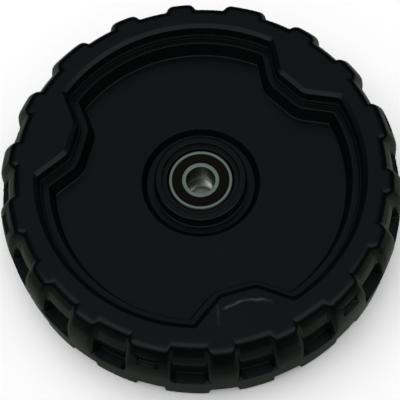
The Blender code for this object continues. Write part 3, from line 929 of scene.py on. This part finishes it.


# A long curved highlight painted on the face beside the lowest lobe, over a slight bumped ridge, and a short
# painted streak at its end
paleMarks = {
    "centre": (21.2 * mm, -95.3 * mm),
    "radius": 22.8 * mm,
    "edge": (0.22 * mm, 0.88 * mm),     # where it fades, from its middle line
    "middle": 96.0,                     # degrees round its centre
    "half": 33.0,
    "fullShare": 0.86,                  # of that half, at full strength
    "wobble": 0.5 * mm,
    "colour": (0.026, 0.034, 0.032, 1),
    "ridge": 22.0,
    "streak": (4.5 * mm, -79.7 * mm),
    "streakEdge": (0.2 * mm, 0.8 * mm),
    "streakEnds": (4.2 * mm, 6.4 * mm),
    "streakShare": 0.3,
}


def addPaintedHighlight(material):
    tree = material.node_tree
    shader, surface = tree.nodes["Principled BSDF"], tree.nodes["Group"]
    place = addNode(tree, 'ShaderNodeTexCoord').outputs["Object"]
    shift = addNode(tree, 'ShaderNodeVectorMath', operation='SUBTRACT')
    tree.links.new(place, shift.inputs[0])
    shift.inputs[1].default_value = (*paleMarks["centre"], rim["width"])
    away = addNode(tree, 'ShaderNodeVectorMath', operation='LENGTH')
    tree.links.new(shift.outputs[0], away.inputs[0])
    wobble = rangeOf(tree, noiseAt(tree, place, 7 * mm, 2), 0.3, 0.7, -paleMarks["wobble"], paleMarks["wobble"])
    off = mathOf(tree, 'SUBTRACT', mathOf(tree, 'ADD', away.outputs["Value"], wobble), paleMarks["radius"])
    line = rangeOf(tree, mathOf(tree, 'ABSOLUTE', off), *paleMarks["edge"], 1, 0)
    way = addNode(tree, 'ShaderNodeVectorMath', operation='NORMALIZE')
    tree.links.new(shift.outputs[0], way.inputs[0])
    facing = addNode(tree, 'ShaderNodeVectorMath', operation='DOT_PRODUCT')
    tree.links.new(way.outputs[0], facing.inputs[0])
    middle = math.radians(paleMarks["middle"])
    facing.inputs[1].default_value = (math.cos(middle), math.sin(middle), 0)
    half = math.radians(paleMarks["half"])
    ends = rangeOf(tree, facing.outputs["Value"], math.cos(half), math.cos(half * paleMarks["fullShare"]), 0, 1)
    patchy = rangeOf(tree, noiseAt(tree, place, 4 * mm, 3), 0.32, 0.6, 0.25, 1)
    parts = addNode(tree, 'ShaderNodeSeparateXYZ')
    tree.links.new(place, parts.inputs[0])
    across, along = [mathOf(tree, 'ABSOLUTE', mathOf(tree, 'SUBTRACT', parts.outputs[axis], at))
                     for axis, at in zip("XY", paleMarks["streak"])]
    streak = mathOf(tree, 'MULTIPLY',
                    rangeOf(tree, across, *paleMarks["streakEdge"], paleMarks["streakShare"], 0),
                    rangeOf(tree, along, *paleMarks["streakEnds"], 1, 0))
    marks = mathOf(tree, 'MAXIMUM', mathOf(tree, 'MULTIPLY', line, ends), streak)
    onFace = rangeOf(tree, parts.outputs["Z"], rim["width"] - 0.5 * mm, rim["width"] - 0.2 * mm, 0, 1)
    share = mathOf(tree, 'MULTIPLY', mathOf(tree, 'MULTIPLY', marks, onFace), patchy)
    # painted highlight: along the arc and the streak the face's colour is mixed towards a pale one, as if
    # lit
    tree.links.new(mixColour(tree, share, surface.outputs["Colour"], paleMarks["colour"]),
                   shader.inputs["Base Color"])
    relief = tree.nodes["Bump"]
    tree.links.new(mathOf(tree, 'ADD', surface.outputs["Height"],
                          mathOf(tree, 'MULTIPLY', share, paleMarks["ridge"])), relief.inputs["Height"])


def dress(piece, material):
    piece.data.materials.clear()
    piece.data.materials.append(material)


def dressNode(node, material):
    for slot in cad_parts[node].material_slots:
        slot.material = material


plastic = surfaceMaterial(
    "blackPlastic", mouldedGroup,
    {"Colour": (0.0009, 0.0015, 0.0019, 1), "Pale": (0.0030, 0.0041, 0.0042, 1), "Cloud": 0.25,
     "Rough": 0.29, "RoughSpread": 0.04, "Scuffs": 0.3, "SeamHeight": 17.5 * mm},
    0.18, 0.02 * mm, Specular_IOR_Level=0.42)
addPaintedHighlight(plastic)
# the outer rings' edges and the inner rings' bores get painted shade, a dark greenish colour
steel = surfaceMaterial(
    "bearingSteel", turnedGroup,
    {"Colour": (0.76, 0.78, 0.77, 1), "Stain": (0.52, 0.52, 0.49, 1), "Staining": 0.35,
     "Rough": 0.30, "RoughSpread": 0.08, "ShadeFromRadius": 16.3 * mm,
     "BoreRadius": 7.9 * mm, "ShadeColour": (0.055, 0.060, 0.042, 1)},
    0.3, 0.004 * mm, Metallic=1.0)
ballSteel = surfaceMaterial(
    "ballSteel", turnedGroup,
    {"Colour": (0.62, 0.62, 0.63, 1), "Stain": (0.5, 0.5, 0.5, 1), "Staining": 0.1,
     "Rough": 0.12, "RoughSpread": 0.02},
    0.1, 0.002 * mm, Metallic=1.0)
# the spacer's bore gets painted shade, a dark greenish colour
zinc = surfaceMaterial(
    "spacerZinc", turnedGroup,
    {"Colour": (0.45, 0.48, 0.38, 1), "Stain": (0.36, 0.36, 0.26, 1), "Staining": 0.5,
     "Rough": 0.34, "RoughSpread": 0.08, "BoreRadius": 8.1 * mm, "ShadeColour": (0.10, 0.13, 0.08, 1)},
    0.3, 0.004 * mm, Metallic=1.0)
rubber = surfaceMaterial(
    "sealRubber", mouldedGroup,
    {"Colour": (0.0028, 0.0023, 0.0017, 1), "Pale": (0.0065, 0.0057, 0.0044, 1), "Cloud": 0.3,
     "Rough": 0.55, "RoughSpread": 0.08, "Scuffs": 0.2},
    0.35, 0.02 * mm, Specular_IOR_Level=0.12)
nylon = surfaceMaterial(
    "cageNylon", mouldedGroup,
    {"Colour": (0.60, 0.55, 0.42, 1), "Pale": (0.68, 0.64, 0.52, 1), "Cloud": 0.5,
     "Rough": 0.5, "RoughSpread": 0.06, "Scuffs": 0.2},
    0.2, 0.02 * mm)
dress(wheelBody, plastic)
for piece in steelPieces:
    dress(piece, steel)
for piece in rubberPieces:
    dress(piece, rubber)
dress(spacer, zinc)
for end in ("front", "rear"):
    dressNode(end + "_cage", nylon)
    for number in range(1, 9):
        dressNode(f"{end}_ball_{number}", ballSteel)
print("materials made")


# Camera, floor and lamps

camera = {"lens": 90.0, "sensor": 36.0, "place": Vector((-0.95 * mm, -216.45 * mm, 514.95 * mm)),
          "right": Vector((0.99832, -0.05325, -0.02270)), "up": Vector((0.05789, 0.91834, 0.39153)),
          "back": Vector((0.0, -0.39219, 0.91989))}


def makeCamera():
    data = bpy.data.cameras.new("camera")
    made = bpy.data.objects.new("camera", data)
    scene.collection.objects.link(made)
    data.lens, data.sensor_width = camera["lens"], camera["sensor"]
    data.clip_start, data.clip_end = 0.01, 20
    turn = Matrix((camera["right"], camera["up"], camera["back"])).transposed().to_4x4()
    made.matrix_world = Matrix.Translation(camera["place"]) @ turn
    scene.camera = made


studio = {
    "floorSize": 8.0,
    "floorColour": (1.0, 1.0, 1.0, 1),
    "ambient": (0.48, 0.48, 0.48, 1),
    "floorDrop": 0.02 * mm,
    "tentRadius": 3.0,                       # a dark tent that only reflections show
    "overhead": (0.160, 0.194, 0.188, 1),
    "horizon": (0.004, 0.004, 0.005, 1),
    "overheadRise": (0.45, 0.85),            # heights are those of a unit direction
    "window": (0.58, 0.66, 0.66, 1),         # a wide soft window on the camera's side
    "windowLow": (0.40, 0.58),
    "windowHigh": (0.92, 0.80),
    "windowSide": (0.0, -0.25),
    "clothNear": (0.084, 0.098, 0.084, 1),
    "clothSide": (0.20, 0.23, 0.19, 1),
    "clothFar": (0.004, 0.004, 0.005, 1),
    # the wheel's painted shadow on the cloth, under it
    "clothShadow": (0.032, 0.055, 0.028, 1),
    "clothBeside": (60 * mm, 118 * mm),      # across, from the middle
    "clothShadowEdge": (60 * mm, 100 * mm),
    "clothEdge": (160 * mm, 340 * mm),       # where its light falls off
    # a glowing disc under the bore, painted light for the bright patch in it
    "spotRadius": 1.4 * mm,
    "spotPlace": (-1.8 * mm, 4.0 * mm, 0.05 * mm),
    "spotGlow": 7.0,
    "lampPlace": (-0.2, 0.1, 2.0),
    "lampSize": 2.2,
    "lampPower": 31.0,
}


def matMaterial(name, colour, glow=0.0):
    made = bpy.data.materials.new(name)
    made.use_nodes = True
    shader = made.node_tree.nodes["Principled BSDF"]
    shader.inputs["Base Color"].default_value = colour
    shader.inputs["Roughness"].default_value = 0.9
    shader.inputs["Specular IOR Level"].default_value = 0.0
    shader.inputs["Emission Color"].default_value = (1, 1, 1, 1)
    shader.inputs["Emission Strength"].default_value = glow
    return made


def lightOnly(name, paint):
    # a card that gives off its own dim light and nothing else
    made = bpy.data.materials.new(name)
    made.use_nodes = True
    tree = made.node_tree
    shader = tree.nodes["Principled BSDF"]
    shader.inputs["Base Color"].default_value = (0, 0, 0, 1)
    shader.inputs["Specular IOR Level"].default_value = 0.0
    shader.inputs["Emission Strength"].default_value = 1.0
    place = addNode(tree, 'ShaderNodeTexCoord').outputs["Object"]
    tree.links.new(paint(tree, place), shader.inputs["Emission Color"])
    return made


def clothColour(tree, place):
    # pale round the wheel, most on its left and right, dark further out, and greenish dark under the wheel
    # as a painted shadow
    away = addNode(tree, 'ShaderNodeVectorMath', operation='LENGTH')
    tree.links.new(place, away.inputs[0])
    share = smoothRange(tree, away.outputs["Value"], *studio["clothEdge"])
    parts = addNode(tree, 'ShaderNodeSeparateXYZ')
    tree.links.new(place, parts.inputs[0])
    beside = smoothRange(tree, mathOf(tree, 'ABSOLUTE', parts.outputs["X"]), *studio["clothBeside"])
    near = mixColour(tree, beside, studio["clothNear"], studio["clothSide"])
    outside = mixColour(tree, share, near, studio["clothFar"])
    # painted shadow: the cloth is darkest under the wheel
    under = smoothRange(tree, away.outputs["Value"], *studio["clothShadowEdge"])
    return mixColour(tree, under, studio["clothShadow"], outside)


def tentColour(tree, place):
    # dark at the horizon, dim above, with one wide window half way up on the camera's side
    way = addNode(tree, 'ShaderNodeVectorMath', operation='NORMALIZE')
    tree.links.new(place, way.inputs[0])
    parts = addNode(tree, 'ShaderNodeSeparateXYZ')
    tree.links.new(way.outputs[0], parts.inputs[0])
    room = mixColour(tree, smoothRange(tree, parts.outputs["Z"], *studio["overheadRise"]),
                     studio["horizon"], studio["overhead"])
    low = smoothRange(tree, parts.outputs["Z"], *studio["windowLow"])
    high = smoothRange(tree, parts.outputs["Z"], *studio["windowHigh"])
    side = smoothRange(tree, parts.outputs["Y"], *studio["windowSide"])
    share = mathOf(tree, 'MULTIPLY', mathOf(tree, 'MULTIPLY', low, high), side)
    return mixColour(tree, share, room, studio["window"])


def smoothRange(tree, value, low, high):
    made = addNode(tree, 'ShaderNodeMapRange', interpolation_type='SMOOTHSTEP')
    tree.links.new(value, made.inputs["Value"])
    made.inputs["From Min"].default_value = low
    made.inputs["From Max"].default_value = high
    return made.outputs["Result"]


def showInReflectionsOnly(card):
    for ray in ("camera", "diffuse", "transmission", "volume_scatter", "shadow"):
        setattr(card, "visible_" + ray, False)


def makeFloor():
    bpy.ops.object.select_all(action='DESELECT')
    bpy.ops.mesh.primitive_plane_add(size=studio["floorSize"], location=(0, 0, -studio["floorDrop"]))
    floor = bpy.context.object
    floor.name = "floor"
    dress(floor, matMaterial("whiteFloor", studio["floorColour"]))
    # a disc of floor under the bore that glows: painted light, which the bore's wall reflects as a bright
    # patch and which shows white through the bore
    bpy.ops.mesh.primitive_circle_add(vertices=48, radius=studio["spotRadius"], fill_type='NGON',
                                      location=studio["spotPlace"])
    spot = bpy.context.object
    spot.name = "glowingSpot"
    dress(spot, matMaterial("glowingSpot", studio["floorColour"], studio["spotGlow"]))


def makeTent():
    bpy.ops.object.select_all(action='DESELECT')
    bpy.ops.mesh.primitive_circle_add(vertices=64, radius=studio["tentRadius"], fill_type='NGON')
    cloth = bpy.context.object
    cloth.name = "darkCloth"
    dress(cloth, lightOnly("darkCloth", clothColour))
    bpy.ops.object.select_all(action='DESELECT')
    bpy.ops.mesh.primitive_uv_sphere_add(segments=64, ring_count=32, radius=studio["tentRadius"])
    tent = bpy.context.object
    tent.name = "darkTent"
    openEdit(tent)
    bpy.ops.mesh.select_all(action='SELECT')
    bpy.ops.mesh.bisect(plane_co=(0, 0, 0), plane_no=(0, 0, 1), clear_inner=True)
    bpy.ops.mesh.select_all(action='SELECT')
    bpy.ops.mesh.flip_normals()
    bpy.ops.object.mode_set(mode='OBJECT')
    dress(tent, lightOnly("darkTent", tentColour))
    for card in (cloth, tent):
        showInReflectionsOnly(card)


def addLamp(name, place, size, power):
    data = bpy.data.lights.new(name, 'AREA')
    data.shape = 'SQUARE'
    data.size = size
    data.energy = power
    made = bpy.data.objects.new(name, data)
    scene.collection.objects.link(made)
    made.location = place
    made.rotation_euler = (-Vector(place)).to_track_quat('-Z', 'Y').to_euler()
    made.visible_glossy = False


def makeWorld():
    world = bpy.data.worlds.new("studio")
    scene.world = world
    world.use_nodes = True
    tree = world.node_tree
    path = addNode(tree, 'ShaderNodeLightPath')
    seen = mathOf(tree, 'MAXIMUM', path.outputs["Is Camera Ray"], path.outputs["Is Glossy Ray"])
    seen = mathOf(tree, 'MAXIMUM', seen, path.outputs["Is Transmission Ray"])
    tree.links.new(mixColour(tree, seen, studio["ambient"], (1, 1, 1, 1)),
                   tree.nodes["Background"].inputs["Color"])


makeCamera()
makeFloor()
makeTent()
makeWorld()
addLamp("overheadLamp", studio["lampPlace"], studio["lampSize"], studio["lampPower"])
scene.view_settings.view_transform = 'Standard'
print("studio made")
